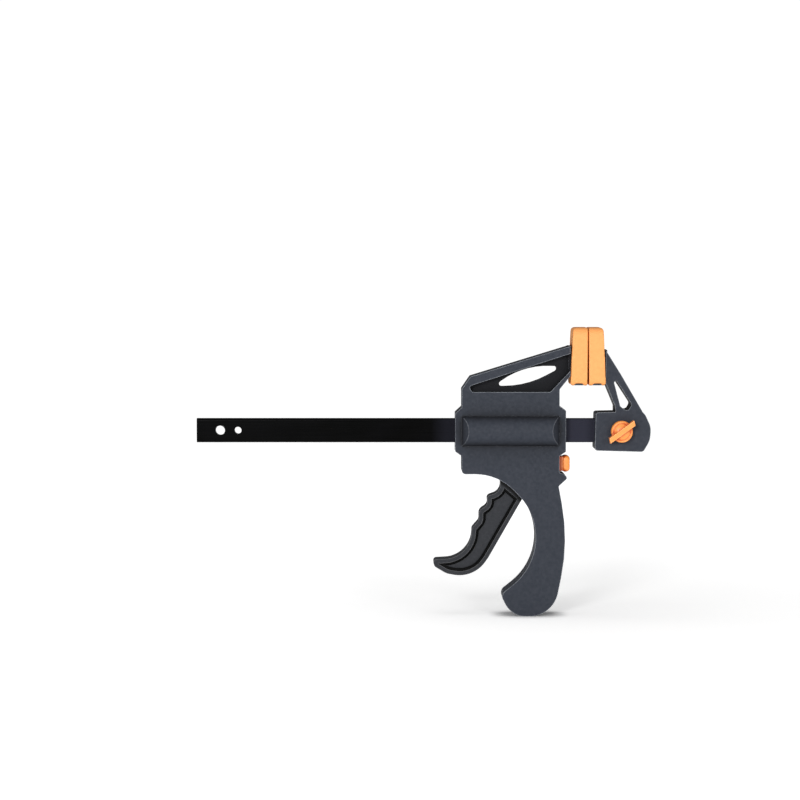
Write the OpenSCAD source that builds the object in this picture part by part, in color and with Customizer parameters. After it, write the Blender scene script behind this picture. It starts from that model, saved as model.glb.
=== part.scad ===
// Quick release bar clamp: a sprung trigger walks the sliding body along a flat bar
// towards the fixed jaw, and a brake plate holds it there until its button is pressed.
// Lengths along the bar are counted from the plane where the two pads meet,
// heights from the centreline of the bar.

/* [Bar] */
// Length of the bar
bar_len = 259; // [250:1:320]
// Height of the bar, across its broad faces
bar_h = 14; // [13:0.5:14.5]
// Thickness of the bar
bar_t = 5; // [4.5:0.1:5.4]
// Radius of the bar's long edges
bar_edge_r = 1.4; // [0.8:0.1:2]
// Reach of the bar past the plane where the pads meet
bar_past_pads = 32.9; // [32:0.1:33.5]
// Diameter of the clamping screw's hole near each end
screw_hole_d = 5.5; // [5.3:0.1:6]
// Distance of that hole from the end of the bar
screw_hole_in = 13.6; // [13:0.1:14.5]
// Diameter of the small locating hole near each end
small_hole_d = 4.1; // [3:0.1:4.5]
// Distance of the locating hole from the end of the bar
small_hole_in = 23.9; // [22:0.1:25]

/* [Pads] */
// Height of a pad
pad_h = 33.4; // [30:0.2:36]
// Width of a pad across the bar
pad_w = 24; // [23:0.5:28]
// Thickness of a pad at its bottom, along the bar
pad_t = 10.2; // [9.8:0.1:11]
// How much thinner a pad is at its top
pad_taper = 1.4; // [0.4:0.1:2]
// How far the clamping face leans back at its bottom
pad_lean = 0.5; // [0.2:0.1:0.8]
// Height of the pads' middle above the bar's centreline
pad_above = 43; // [42:0.1:45]
// Radius of a pad's upper side corners
pad_top_r = 4; // [2:0.5:5]
// Radius of a pad's lower side corners
pad_foot_r = 2.8; // [1:0.2:4]
// Rubber in front of the jaw's plate
pad_face_t = 2.9; // [2.6:0.1:3.2]
// Rubber round the edges of the jaw's plate
pad_skin = 2.1; // [1.8:0.1:2.6]
// Depth of the notch in the bottom of each side wall
pad_notch = 1.3; // [0.6:0.1:2]

/* [Jaw plates] */
// Thickness of the plate that a pad slides over
tongue_t = 4.8; // [4.4:0.1:5]
// Width of the neck behind the plate
neck_w = 15; // [12:0.5:16]

/* [Fixed jaw] */
// Width of the fixed jaw across the bar
jaw_w = 20; // [19:0.5:21]
// Gap between the plane of the pads and the jaw's block
jaw_set_back = 4.4; // [3.5:0.1:4.8]
// Length of the block that holds the bar
jaw_len = 31.9; // [31:0.1:34]
// Height of the block above the bar's centreline
jaw_above = 11.4; // [10.5:0.1:12]
// Depth of the block below the bar's centreline
jaw_below = 12.2; // [11.5:0.1:13.5]
// Height of the strut where it meets the pad
jaw_tip_h = 19; // [18:0.1:20]

/* [Clamping screw] */
// Diameter of the screw's thread
stud_d = 5; // [4:0.1:5.2]
// Diameter of the knob's disc
knob_d = 12.5; // [12:0.5:14]
// Thickness of the knob's disc
knob_t = 4.4; // [3.5:0.1:6]
// Length of the knob's wing, tip to tip
wing_len = 18.8; // [18:0.1:24]
// Thickness of the knob's wing
wing_t = 2.9; // [2:0.1:4]
// Height that the wing stands over the disc
wing_rise = 2.4; // [1:0.1:3]
// Angle of the wing above the line of the bar
wing_angle = 36; // [0:1:90]
// Diameter of the washer under the knob
washer_d = 11.4; // [9.5:0.1:12]
// Thickness of the washer
washer_t = 1; // [0.6:0.1:1.5]
// Width of the nut across its flats
nut_af = 8; // [7:0.1:9]
// Thickness of the nut
nut_t = 3.6; // [3:0.1:4.5]

/* [Body] */
// Width of the two shells together
body_w = 20; // [19:0.5:21]
// Length of the body, without its collars
body_len = 56.4; // [56:0.1:60]
// Gap between the plane of the pads and the body
body_set_back = 16.3; // [16:0.1:17.5]
// Height of the body above the bar's centreline
body_above = 24.2; // [23:0.1:25]
// Depth of the body below the bar's centreline
body_below = 24.9; // [24.8:0.1:27]
// Length that each collar stands out along the bar
collar_out = 3.7; // [2.5:0.1:4]
// Height of a collar above and below the bar's centreline
collar_half_h = 11.8; // [11:0.1:13]
// Size of the chamfer behind a collar
collar_chamfer = 2.6; // [1:0.1:3]
// Drop of the back collar's top edge, against the front collar's
collar_drop = 0.75; // [0:0.05:1]
// Height of the barrel between its creases
barrel_h = 17.3; // [16:0.1:19]
// Height that the barrel's crest stands out of the body's face
barrel_rise = 4; // [3:0.1:4.5]
// Length over which the barrel's ends slope
barrel_slope = 4; // [3:0.1:4.5]
// Radius of the bore that holds the springs round the bar
spring_bore_r = 9.7; // [9.5:0.1:10]
// Thickness of the walls at the ends of the bore
end_wall = 2.4; // [2:0.1:3]

/* [Arm] */
// Height of the arm where it meets the pad
arm_tip_h = 17.3; // [17:0.1:19]
// Drop of the arm's middle there below the pads' middle
arm_tip_drop = 2.6; // [1.5:0.1:3]
// Height of the arm's back corner over the body
arm_root_h = 5.7; // [4:0.1:6]
// Length of the slant across the arm's back corner, along the bar
arm_slant = 4.9; // [4:0.1:6]
// Radius where that slant meets the arm's top edge
arm_slant_r = 1.6; // [1:0.1:2]
// Depth of the panel sunk in each face of the arm
arm_panel_deep = 6; // [2:0.5:7]
// Width of the rim along the top of that panel
arm_rim = 4; // [3:0.1:4.5]
// Drop of that panel's bottom below the body's top
arm_panel_drop = 1.6; // [1:0.1:2]

/* [Grip] */
// Length of the grip below the body
grip_len = 82.5; // [80:0.5:90]
// Thickness of the grip's outer wall
grip_wall = 2.8; // [2.4:0.1:3.4]
// Thickness of the grip's faces over its hollows
grip_face_t = 2.4; // [2:0.1:3]
// Thickness of the ribs between the grip's hollows
grip_rib = 2; // [1.6:0.1:3]

/* [Trigger] */
// Width of the trigger across the bar
trigger_w = 13; // [12:0.5:13.4]
// Depth of the panel sunk in each face of the trigger
trigger_panel_deep = 3; // [1:0.1:4]
// Width of the rim round that panel
trigger_rim = 2.4; // [1.8:0.1:2.4]
// Length of the trigger below its pivot
trigger_len = 61.7; // [58:0.1:64]
// Distance of the pivot behind the body's front
pivot_in = 24.5; // [24:0.1:25]
// Depth of the pivot below the bar's centreline
pivot_below = 24; // [23.8:0.1:24.4]
// Diameter of the pivot pin
pivot_d = 4; // [3:0.1:4.4]
// Radius of the eye round the pin
eye_r = 5.1; // [4.5:0.1:5.3]
// Radius of the nose that pushes the drive plates
nose_r = 3; // [2.4:0.1:3.2]
// Height of the nose above the pivot
nose_up = 10.5; // [10:0.1:10.8]

/* [Drive] */
// Thickness of one drive plate
drive_t = 2; // [1.5:0.1:2.2]
// Width of the drive and brake plates across the bar
plate_w = 16; // [14:0.5:16.4]
// Height of the plates above the bar's centreline
plate_above = 10.6; // [9.5:0.1:11]
// Depth of the drive plates below the bar's centreline
drive_below = 19; // [16:0.1:19.2]
// Travel of the drive plates along the bar
drive_travel = 3.3; // [3:0.1:3.5]
// Outer radius of the springs
spring_r = 9.3; // [9:0.1:9.5]
// Diameter of the springs' wire
wire_d = 1.2; // [0.8:0.1:1.4]
// Thickness of the washer that the drive spring bears on
seat_t = 1; // [0.6:0.1:1.5]

/* [Brake] */
// Thickness of the brake plate
brake_t = 3; // [2.5:0.1:3.2]
// Height of the brake plate's rocking edge above the bar's centreline
brake_up = 14; // [13.5:0.1:14.5]
// Distance of that edge behind the body's front
brake_in = 8; // [7.8:0.1:8.4]
// Depth of the brake plate below the bar's centreline
brake_below = 22; // [20:0.1:22.5]
// Angle at which the brake plate rests
brake_lean = 3; // [2:0.1:3.2]
// Length of the brake spring
brake_spring_len = 9; // [8:0.1:9.2]

/* [Release button] */
// Height of the button
button_h = 9.6; // [8:0.1:10]
// Width of the button across the bar
button_w = 10; // [8:0.1:12]
// Length that the button stands out of the body
button_out = 6.4; // [5:0.1:7]
// Depth of the button's middle below the bar's centreline
button_below = 19.2; // [18.6:0.1:19.2]
// Radius of the button's corners
button_r = 2; // [1:0.1:3]
// Travel of the button
button_travel = 2.5; // [2:0.1:2.6]
// Thickness of the flange that keeps the button in
flange_t = 1.8; // [1.2:0.1:2]

/* [Shell screws] */
// Diameter of the screws
screw_d = 2.9; // [2.5:0.1:3.2]
// Diameter of the screws' heads
screw_head_d = 5.6; // [5:0.1:6]
// Thickness of the screws' heads
screw_head_t = 2; // [1.5:0.1:2.4]
// Depth of the heads' counterbores
counterbore = 3; // [2.4:0.1:4]
// Length of the screws under their heads
screw_len = 13; // [11:0.5:14]
// Width of the cross recess in a head
recess_w = 0.8; // [0.5:0.1:1]

/* [Hidden] */
$fn = 48;
// Turn of one facet of a rounded corner
arc_step = 6;
// Clearance of a piece that slides on or in another
slide_gap = 0.15;
// Clearance of a pin in its bore, on the radius
pin_gap = 0.05;
// Clearance between pieces that only lie side by side
loose_gap = 0.3;
// Length that a cutter runs past what it cuts
overrun = 1;

bar_right = bar_past_pads;
bar_left = bar_right - bar_len;
screw_x = bar_right - screw_hole_in;
body_right = -body_set_back;
body_left = body_right - body_len;
pivot_x = body_right - pivot_in;
nose_x = pivot_x;
drive_x = nose_x - nose_r - pin_gap;
brake_x = body_right - brake_in;
seat_x = drive_x - drive_t - drive_t;
tongue_near = pad_face_t;
tongue_far = tongue_near + tongue_t;
tongue_w = pad_w - pad_skin - pad_skin;
tongue_foot = pad_above - pad_h / 2 + slide_gap;
tongue_top = pad_above + pad_h / 2 - pad_skin - loose_gap;
arm_tip_top = pad_above - arm_tip_drop + arm_tip_h / 2;
arm_tip_foot = arm_tip_top - arm_tip_h;
washer_y = -jaw_w / 2 - washer_t;
knob_y = washer_y - knob_t;
nut_y = jaw_w / 2 - nut_t - slide_gap;
flange_x = body_right - end_wall + slide_gap;
button_tip = flange_x - slide_gap - flange_t;
trigger_pocket_w = trigger_w + loose_gap + loose_gap;
pin_len = body_w - end_wall;

// Corners are [along, up, radius], as shares of the length and the height of their piece.
// Grip: along from the body's front to its back, down from the body's underside
grip_shares = [[0.93, 0, 0], [0.627, 0, 0.552], [-0.067, 0.487, 0.626], [0.6, 0.847, 0.07],
               [0.488, 1, 0.237], [0.06, 1, 0.298], [-0.098, 0.467, 2.015], [0.007, 0.084, 0.021],
               [-0.087, 0.026, 0.026], [-0.052, 0.001, 0.026], [0.08, -0.03, 0],
               [0.3, -0.1, 0], [0.93, -0.1, 0]];
// Width of the body as a share of the grip's length
grip_width_share = 0.684;
// Window through the arm: along from the body's front to its back, up from the panel's foot
window_shares = [[0.676, 0.124, 0.028], [0.329, 0.125, 0.93], [-0.054, 0.6, 0.029],
                 [0.363, 0.638, 0.81]];
// Trigger: back from the pivot, down from the pivot
trigger_shares = [[0.158, 0.048, 0], [0.143, 0.179, 0.097], [0.28, 0.227, 0.039],
                  [0.27, 0.305, 0.058], [0.353, 0.363, 0.06], [0.353, 0.454, 0.056],
                  [0.42, 0.529, 0.051], [0.425, 0.804, 0.26], [0.791, 0.823, 0.03],
                  [0.769, 0.888, 0.04], [0.657, 0.954, 0.156], [0.402, 1, 0.296],
                  [0.265, 0.804, 0.077], [-0.048, 0.258, 0.039], [-0.077, 0.194, 0.039],
                  [-0.077, 0, 0]];
// Strut of the fixed jaw: along the block, up from its top to the jaw's tip
strut_shares = [[0.847, 0, 0], [0.462, 0.595, 0.6]];
strut_foot_shares = [[0.358, 0.08, 0.08], [0.36, -0.03, 0]];
strut_window_shares = [[0.289, 0.62, 0.029], [0.654, 0.115, 0.069], [0.578, -0.009, 0.064],
                       [0.446, 0.087, 0.04]];
// Outer end of the fixed jaw's block: along the block, up from its foot
block_shares = [[-0.009, 0.042, 0.048], [0.865, 0.011, 0.072], [0.987, 0.288, 0.367],
                [1.004, 0.616, 0.34], [0.892, 0.942, 0.278], [0.84, 1, 0], [0.006, 0.975, 0.041]];
// Top edge of the fixed jaw's strut, as a share of its tip's height over the pads' middle
strut_tip_share = 0.2;
// Pocket for the trigger's head: behind, ahead of and below the pivot
pocket_shares = [0.203, 0.16, 0.368];
// Field that the trigger's sunk panel stays in: back from the pivot, down from the pivot
panel_field_shares = [[0.384, -0.079, 0], [-0.264, 0.468, 0], [-0.264, 1.2, 0], [1.2, 1.2, 0],
                      [1.2, -0.079, 0]];
// Top and foot of the row of hollows in the grip, down from the body's underside
grip_hollow_shares = [0.3, 0.8];
grip_hollow_count = 3;
// Shell screws in the throat and in the foot: from the body's front, down from its underside
throat_screw_shares = [0.12, 0.13];
foot_screw_shares = [0.29, 0.9];
// Places of the shell screws: along from the body's front to its back, up or down from the bar
screw_places = [[body_left + end_wall + screw_head_d, body_above - screw_head_d / 2 - end_wall],
                [body_right - body_len * foot_screw_shares[0],
                 body_above - screw_head_d / 2 - end_wall],
                [body_left + end_wall + screw_head_d, -body_below + screw_head_d / 2 + end_wall],
                [body_right - body_len * throat_screw_shares[0],
                 -body_below - grip_len * throat_screw_shares[1]],
                [body_right - body_len * foot_screw_shares[0],
                 -body_below - grip_len * foot_screw_shares[1]]];

function unit(v) = v / norm(v);
function turn(a, b) = a[0] * b[1] - a[1] * b[0];
function at(p) = [p[0], p[1]];
function rotated(v, angle) =
    [v[0] * cos(angle) - v[1] * sin(angle), v[0] * sin(angle) + v[1] * cos(angle)];
// Corners from shares of a length and a height, counted from a start point
function placed(shares, start, along, up) =
    [for (s = shares) [start[0] + s[0] * along, start[1] + s[1] * up, s[2] * abs(along)]];
// Points of one rounded corner
function corner_arc(before, p, after, r) =
    let (u = unit(before - p),
         v = unit(after - p),
         half = acos(u * v) / 2,
         centre = p + unit(u + v) * r / sin(half),
         from = p + u * r / tan(half) - centre,
         sweep = (180 - 2 * half) * (turn(u, v) < 0 ? 1 : -1),
         steps = max(ceil(abs(sweep) / arc_step), 1))
    [for (i = [0:steps]) centre + rotated(from, sweep * i / steps)];
// Outline with every corner rounded by its own radius
function rounded(corners) =
    let (n = len(corners))
    [for (i = [0:n - 1])
        each corners[i][2] == 0
            ? [at(corners[i])]
            : corner_arc(at(corners[(i + n - 1) % n]), at(corners[i]), at(corners[(i + 1) % n]),
                         corners[i][2])];
// Corners moved inwards by d, for corners listed anticlockwise
function inset(corners, d) =
    let (n = len(corners))
    [for (i = [0:n - 1])
        let (p = at(corners[i]),
             a = unit(p - at(corners[(i + n - 1) % n])),
             b = unit(at(corners[(i + 1) % n]) - p),
             inward = [-a[1] - b[1], a[0] + b[0]],
             moved = p + inward * d / (1 + a * b))
        [moved[0], moved[1], turn(a, b) > 0 ? max(corners[i][2] - d, 0) : corners[i][2] + d]];
// Rectangle with equal corner radii
function box_corners(left, right, foot, top, r) =
    [[left, foot, r], [right, foot, r], [right, top, r], [left, top, r]];

// The grip's radii follow its width or its length, whichever is the smaller
grip_round = min(body_len, grip_len * grip_width_share);
grip_corners = [for (s = grip_shares)
    [body_right - s[0] * body_len, -body_below - s[1] * grip_len, s[2] * grip_round]];
window_corners = placed(window_shares, [body_right, body_above - arm_panel_drop],
                        -body_len, body_above);
trigger_corners = placed(trigger_shares, [pivot_x, -pivot_below], -trigger_len, -trigger_len);
strut_h = pad_above + jaw_tip_h * strut_tip_share - jaw_above;
strut_corners = [each placed(strut_shares, [jaw_set_back, jaw_above], jaw_len, strut_h),
                 [pad_t, jaw_above + strut_h, 0], [pad_t, jaw_above + strut_h - jaw_tip_h, 0],
                 each placed(strut_foot_shares, [jaw_set_back, jaw_above], jaw_len, strut_h)];
block_corners = placed(block_shares, [jaw_set_back, -jaw_below], jaw_len, jaw_above + jaw_below);
body_corners = [[body_left, -body_below, end_wall], [body_right, -body_below, 0],
                [body_right, -collar_half_h - collar_chamfer, 0],
                [body_right + collar_out, -collar_half_h, 0],
                [body_right + collar_out, collar_half_h, 0],
                [body_right, collar_half_h + collar_chamfer, 0],
                [body_right, body_above, 0], [body_left, body_above, 0],
                [body_left, collar_half_h + collar_chamfer - collar_drop, 0],
                [body_left - collar_out, collar_half_h - collar_drop - collar_drop, 0],
                [body_left - collar_out, -collar_half_h, 0],
                [body_left, -collar_half_h - collar_chamfer, 0]];
arm_slope = (arm_tip_top - body_above - arm_root_h) / (-pad_t - body_left);
arm_corners = [[body_left, body_above - arm_root_h, 0], [body_right, body_above - arm_root_h, 0],
               [body_right, body_above, pad_taper], [-pad_t, arm_tip_foot, 0],
               [-pad_t, arm_tip_top, 0],
               [body_left + arm_slant, body_above + arm_root_h + arm_slope * arm_slant, arm_slant_r],
               [body_left, body_above, 0]];
panel_foot = body_above - arm_panel_drop;
arm_panel_corners = [[body_left + arm_rim + arm_rim / 2, panel_foot, pad_taper],
                     [body_right - arm_rim - pad_taper, panel_foot, pad_taper],
                     [-pad_t, arm_tip_foot + arm_panel_drop + pad_taper, 0],
                     [-pad_t + overrun, arm_tip_top - arm_rim, 0],
                     [body_left + arm_rim, body_above + arm_root_h - arm_rim, pad_taper]];

// Stretches a flat outline across the bar
module across(from, to) {
    translate([0, to, 0]) rotate([90, 0, 0]) linear_extrude(to - from) children();
}

// Stretches an outline drawn across the bar along it
module along(from, to) {
    translate([from, 0, 0]) rotate([90, 0, 90]) linear_extrude(to - from) children();
}

// Round bar or cutter that runs across the bar
module round_across(x, z, from, to, d) {
    translate([x, to, z]) rotate([90, 0, 0]) cylinder(d = d, h = to - from);
}

// Round bar or cutter that runs along the bar
module round_along(from, to, r) {
    translate([from, 0, 0]) rotate([0, 90, 0]) cylinder(r = r, h = to - from);
}

// Block between two corners
module block(low, high) {
    translate(low) cube(high - low);
}

// Everything is drawn about the bar's centreline, and hangs below the pads' middle
module below_pads() {
    translate([0, 0, -pad_above]) children();
}

module bar_outline(gap) {
    polygon(rounded(box_corners(-bar_t / 2 - gap, bar_t / 2 + gap, -bar_h / 2 - gap,
                                bar_h / 2 + gap, bar_edge_r)));
}

module bar() {
    color("#1b1b1e") below_pads() difference() {
        along(bar_left, bar_right) bar_outline(0);
        for (x = [screw_x, bar_left + screw_hole_in])
            round_across(x, 0, -bar_t, bar_t, screw_hole_d);
        for (x = [bar_right - small_hole_in, bar_left + small_hole_in])
            round_across(x, 0, -bar_t, bar_t, small_hole_d);
    }
}

// Rubber sleeve that slides down over a jaw's plate, drawn for the jaw on the right
module pad_sleeve() {
    foot = pad_above - pad_h / 2;
    top = pad_above + pad_h / 2;
    difference() {
        intersection() {
            across(-pad_w / 2, pad_w / 2)
                polygon(rounded([[pad_lean, foot, 0], [pad_t, foot, pad_taper],
                                 [pad_t - pad_taper, top, pad_skin], [pin_gap, top, pad_lean]]));
            along(0, pad_t)
                polygon(rounded([[-pad_w / 2, foot, pad_foot_r], [pad_w / 2, foot, pad_foot_r],
                                 [pad_w / 2, top, pad_top_r], [-pad_w / 2, top, pad_top_r]]));
        }
        block([tongue_near - pin_gap, -tongue_w / 2 - pin_gap, foot - overrun],
              [tongue_far + pin_gap, tongue_w / 2 + pin_gap, tongue_top + pin_gap]);
        block([tongue_far, -neck_w / 2 - pin_gap, foot - overrun],
              [pad_t + overrun, neck_w / 2 + pin_gap, arm_tip_top + pin_gap]);
        block([tongue_near - pin_gap, -pad_w, foot - overrun],
              [tongue_far + pin_gap, pad_w, foot + pad_notch]);
    }
}

module fixed_jaw_pad() {
    color("#fbb468") below_pads() pad_sleeve();
}

module moving_jaw_pad() {
    color("#fbb468") below_pads() mirror([1, 0, 0]) pad_sleeve();
}

// Plate and neck that carry a pad, drawn for the jaw on the right
module tongue(neck_foot, neck_top) {
    block([tongue_near, -tongue_w / 2, tongue_foot], [tongue_far, tongue_w / 2, tongue_top]);
    block([tongue_near, -neck_w / 2, neck_foot], [pad_t + overrun, neck_w / 2, neck_top]);
}

module fixed_jaw() {
    tip_foot = strut_corners[3][1];
    tip_top = strut_corners[2][1];
    color("#3d4147") below_pads() difference() {
        union() {
            across(-jaw_w / 2, jaw_w / 2) polygon(rounded(block_corners));
            across(-jaw_w / 2, jaw_w / 2) polygon(rounded(strut_corners));
            tongue(tip_foot, tip_top);
        }
        across(-jaw_w, jaw_w)
            polygon(rounded(placed(strut_window_shares, [jaw_set_back, jaw_above], jaw_len, strut_h)));
        along(jaw_set_back - overrun, bar_right + slide_gap) bar_outline(slide_gap);
        round_across(screw_x, 0, -jaw_w, jaw_w, stud_d + loose_gap);
        translate([screw_x, jaw_w / 2 + overrun, 0]) rotate([90, 0, 0])
            cylinder(d = nut_af / cos(30) + slide_gap, h = nut_t + slide_gap + overrun, $fn = 6);
    }
}

module jaw_nut() {
    color("#b9bcc0") below_pads() translate([screw_x, nut_y + nut_t, 0]) rotate([90, 0, 0])
        difference() {
            cylinder(d = nut_af / cos(30), h = nut_t, $fn = 6);
            translate([0, 0, -overrun])
                cylinder(d = stud_d + pin_gap + pin_gap, h = nut_t + overrun + overrun);
        }
}

module knob_washer() {
    color("#b9bcc0") below_pads() difference() {
        round_across(screw_x, 0, washer_y, washer_y + washer_t, washer_d);
        round_across(screw_x, 0, washer_y - overrun, washer_y + washer_t + overrun,
                     stud_d + loose_gap);
    }
}

module knob_stud() {
    color("#b9bcc0") below_pads()
        round_across(screw_x, 0, knob_y + knob_t / 2, nut_y + nut_t, stud_d);
}

module wing_knob() {
    color("#ffa54f") below_pads() difference() {
        union() {
            round_across(screw_x, 0, knob_y, washer_y, knob_d);
            translate([screw_x, 0, 0]) rotate([0, -wing_angle, 0])
                across(knob_y - wing_rise, knob_y + knob_t / 2)
                    polygon(rounded(box_corners(-wing_len / 2, wing_len / 2, -wing_t / 2,
                                                wing_t / 2, wing_t / 3)));
        }
        round_across(screw_x, 0, knob_y + knob_t / 2, washer_y + overrun, stud_d);
    }
}

// Half of the whole casing, without its hollows, from the middle to one face
module casing(side) {
    low = side < 0 ? -body_w / 2 : 0;
    high = side < 0 ? 0 : body_w / 2;
    difference() {
        union() {
            across(low, high) polygon(rounded(body_corners));
            across(low, high) polygon(rounded(arm_corners));
            across(low, high) polygon(rounded(grip_corners));
            barrel(side);
        }
        for (face = [side])
            across(face < 0 ? low - overrun : high - arm_panel_deep,
                   face < 0 ? low + arm_panel_deep : high + overrun)
                polygon(rounded(arm_panel_corners));
        across(-body_w, body_w) polygon(rounded(window_corners));
    }
    intersection() {
        mirror([1, 0, 0]) tongue(arm_tip_foot, arm_tip_top);
        block([-pad_t - overrun, low, 0], [0, high, tongue_top]);
    }
}

// Bulge over the springs on one face of the casing
module barrel(side) {
    half_w = body_w / 2;
    r = (barrel_h * barrel_h / 4 + barrel_rise * barrel_rise) / (barrel_rise + barrel_rise);
    intersection() {
        translate([body_left, side * (half_w + barrel_rise - r), 0])
            rotate([0, 90, 0]) cylinder(r = r, h = body_len, $fn = 120);
        translate([0, 0, -barrel_h / 2]) linear_extrude(barrel_h)
            polygon([[body_left, 0], [body_right, 0], [body_right, side * half_w],
                     [body_right - barrel_slope, side * (half_w + barrel_rise)],
                     [body_left + barrel_slope, side * (half_w + barrel_rise)],
                     [body_left, side * half_w]]);
    }
}

// Hollows inside the casing that hold the mechanism
module hollows() {
    rib_left = brake_x - brake_t / 2 - slide_gap - brake_spring_len - end_wall;
    plate_half = plate_w / 2 + loose_gap;
    along(body_left - collar_out - overrun, body_right + collar_out + overrun)
        bar_outline(slide_gap);
    round_along(body_left + end_wall, rib_left, spring_bore_r);
    round_along(rib_left + end_wall, body_right - end_wall, spring_bore_r);
    block([seat_x - seat_t - drive_travel - loose_gap, -plate_half, -drive_below - loose_gap],
          [drive_x + loose_gap, plate_half, plate_above + loose_gap]);
    block([brake_x - brake_t - button_travel, -plate_half, -brake_below - loose_gap],
          [body_right - end_wall, plate_half, spring_bore_r]);
    block([brake_x - brake_t / 2 - loose_gap, -plate_half, 0],
          [brake_x + brake_t / 2 + loose_gap, plate_half, brake_up + brake_t]);
    button_hollow();
    trigger_hollow();
    grip_hollows();
}

module button_hollow() {
    half_h = button_h / 2 + slide_gap;
    half_w = button_w / 2 + slide_gap;
    block([body_right - end_wall - overrun, -half_w, -button_below - half_h],
          [body_right + overrun, half_w, -button_below + half_h]);
    block([brake_x, -half_w - flange_t, -button_below - half_h - slide_gap],
          [body_right - end_wall, half_w + flange_t, -button_below + half_h + flange_t]);
}

module trigger_hollow() {
    left = pivot_x - trigger_len * pocket_shares[0];
    right = pivot_x + trigger_len * pocket_shares[1];
    foot = -pivot_below - trigger_len * pocket_shares[2];
    across(-trigger_pocket_w / 2, trigger_pocket_w / 2)
        polygon([[left, foot], [right, foot], [right, -pivot_below],
                 [pivot_x + eye_r + loose_gap, -pivot_below],
                 [pivot_x + eye_r + loose_gap, -bar_h / 2],
                 [pivot_x - nose_r - drive_travel, -bar_h / 2],
                 [pivot_x - eye_r - drive_travel, -pivot_below + eye_r],
                 [left + drive_travel, -pivot_below + eye_r], [left, -body_below]]);
}

module grip_hollows() {
    first = -body_below - grip_len * grip_hollow_shares[0];
    last = -body_below - grip_len * grip_hollow_shares[1];
    pitch = (first - last + grip_rib) / grip_hollow_count;
    half_w = body_w / 2 - grip_face_t;
    for (i = [0:grip_hollow_count - 1])
        intersection() {
            across(-half_w, half_w) polygon(rounded(inset(grip_corners, grip_wall)));
            block([body_left, -body_w, first - (i + 1) * pitch + grip_rib],
                  [body_right + grip_wall, body_w, first - i * pitch]);
        }
}

module front_shell() {
    color("#42464c") below_pads() difference() {
        casing(-1);
        hollows();
        round_across(pivot_x, -pivot_below, -pin_len / 2 - pin_gap, overrun,
                     pivot_d + pin_gap);
        for (p = screw_places)
            round_across(p[0], p[1], counterbore + overrun - screw_len, overrun,
                         screw_d + pin_gap);
    }
}

module back_shell() {
    color("#42464c") below_pads() difference() {
        casing(1);
        hollows();
        round_across(pivot_x, -pivot_below, -overrun, pin_len / 2 + pin_gap,
                     pivot_d + pin_gap);
        for (p = screw_places) {
            round_across(p[0], p[1], -overrun, body_w, screw_d + slide_gap);
            round_across(p[0], p[1], body_w / 2 - counterbore, body_w, screw_head_d + slide_gap);
        }
    }
}

module shell_screws() {
    seat = body_w / 2 - counterbore;
    color("#9a9da1") below_pads() for (p = screw_places) {
        difference() {
            union() {
                round_across(p[0], p[1], seat, seat + screw_head_t, screw_head_d);
                round_across(p[0], p[1], seat - screw_len + screw_head_t, seat, screw_d);
            }
            for (angle = [0, 90])
                translate([p[0], seat + screw_head_t, p[1]]) rotate([0, angle, 0])
                    block([-screw_d / 2, -screw_head_t / 2, -recess_w / 2],
                          [screw_d / 2, overrun, recess_w / 2]);
        }
    }
}

module trigger_pin() {
    color("#b9bcc0") below_pads()
        round_across(pivot_x, -pivot_below, -pin_len / 2, pin_len / 2, pivot_d);
}

module trigger() {
    half_w = trigger_w / 2;
    panel_corners = inset(trigger_corners, trigger_rim);
    panel_field = placed(panel_field_shares, [pivot_x, -pivot_below], -trigger_len, -trigger_len);
    color("#3c3e41") below_pads() difference() {
        union() {
            across(-half_w, half_w) polygon(rounded(trigger_corners));
            round_across(pivot_x, -pivot_below, -half_w, half_w, eye_r + eye_r);
            round_across(nose_x, nose_up - pivot_below, -half_w, half_w, nose_r + nose_r);
            block([nose_x - nose_r, -half_w, -pivot_below],
                  [nose_x + nose_r, half_w, nose_up - pivot_below]);
        }
        round_across(pivot_x, -pivot_below, -body_w, body_w, pivot_d + pin_gap + pin_gap);
        for (side = [-1, 1])
            intersection() {
                across(side < 0 ? -half_w - overrun : half_w - trigger_panel_deep,
                       side < 0 ? trigger_panel_deep - half_w : half_w + overrun)
                    polygon(rounded(panel_corners));
                across(-body_w, body_w) polygon(rounded(panel_field));
            }
    }
}

// Flat steel plate that stands across the bar, with a window for it
module bar_plate(from, thick, foot, top) {
    difference() {
        along(from, from + thick)
            polygon(rounded(box_corners(-plate_w / 2, plate_w / 2, foot, top, end_wall)));
        along(from - overrun, from + thick + overrun)
            square([bar_t + slide_gap + slide_gap, bar_h + slide_gap + slide_gap], center = true);
    }
}

module drive_plate_front() {
    color("#8d9094") below_pads() bar_plate(drive_x - drive_t, drive_t, -drive_below, plate_above);
}

module drive_plate_rear() {
    color("#8d9094") below_pads() bar_plate(seat_x, drive_t, -drive_below, plate_above);
}

module drive_spring_seat() {
    color("#8d9094") below_pads() difference() {
        round_along(seat_x - seat_t, seat_x, spring_r);
        round_along(seat_x - seat_t - overrun, seat_x + overrun, spring_r - wire_d);
    }
}

// Space that a coil spring round the bar fills, from one end to the other
module spring_sleeve(from, to) {
    difference() {
        round_along(from, to, spring_r);
        round_along(from - overrun, to + overrun, spring_r - wire_d);
    }
}

module drive_spring() {
    color("#a5a8ac") below_pads()
        spring_sleeve(body_left + end_wall, seat_x - seat_t);
}

module brake_spring() {
    end = brake_x - brake_t / 2 - slide_gap;
    color("#a5a8ac") below_pads() spring_sleeve(end - brake_spring_len, end);
}

// The brake plate leans about its upper edge, its foot nearer to the pads
module brake_plate() {
    color("#8d9094") below_pads() translate([brake_x, 0, brake_up]) rotate([0, -brake_lean, 0])
        translate([0, 0, -brake_up])
            bar_plate(-brake_t / 2, brake_t, -brake_below, brake_up + brake_t / 2);
}

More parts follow.
